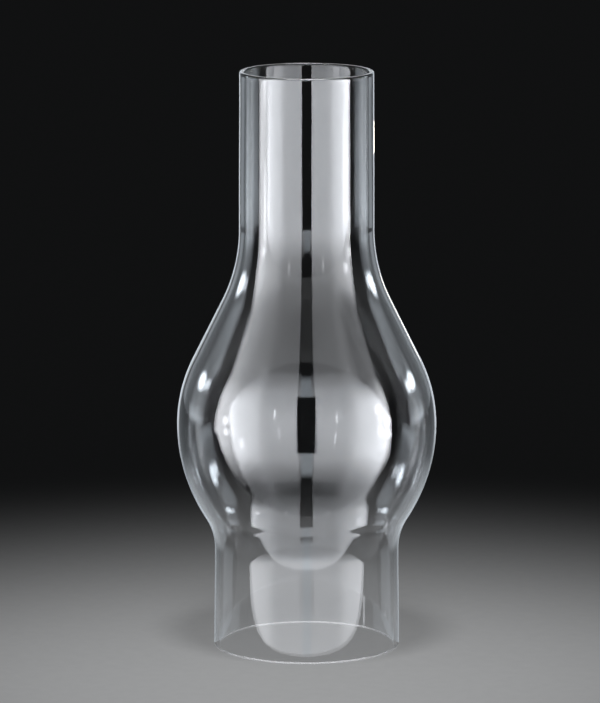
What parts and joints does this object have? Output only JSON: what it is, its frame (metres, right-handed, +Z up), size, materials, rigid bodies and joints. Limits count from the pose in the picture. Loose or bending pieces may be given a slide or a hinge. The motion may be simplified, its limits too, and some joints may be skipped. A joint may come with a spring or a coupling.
{
  "type": "lamp chimney",
  "caption": "Clear blown-glass chimney for an oil lamp: a straight fitter at the base, a round bulb above it and a long straight neck, open at both ends.",
  "frame": {"origin": "centre of the bottom rim, on the plane that the chimney stands on", "axes": "+Z up along the chimney's axis, from the fitter to the neck; X and Y are any two radii at right angles"},
  "size_m": [0.1062, 0.1062, 0.2377],
  "materials": {
    "clear_glass": "clear, fire-polished, smooth on both sides"
  },
  "bodies": {
    "root": {"chimney": "clear_glass"}
  },
  "joints": []
}
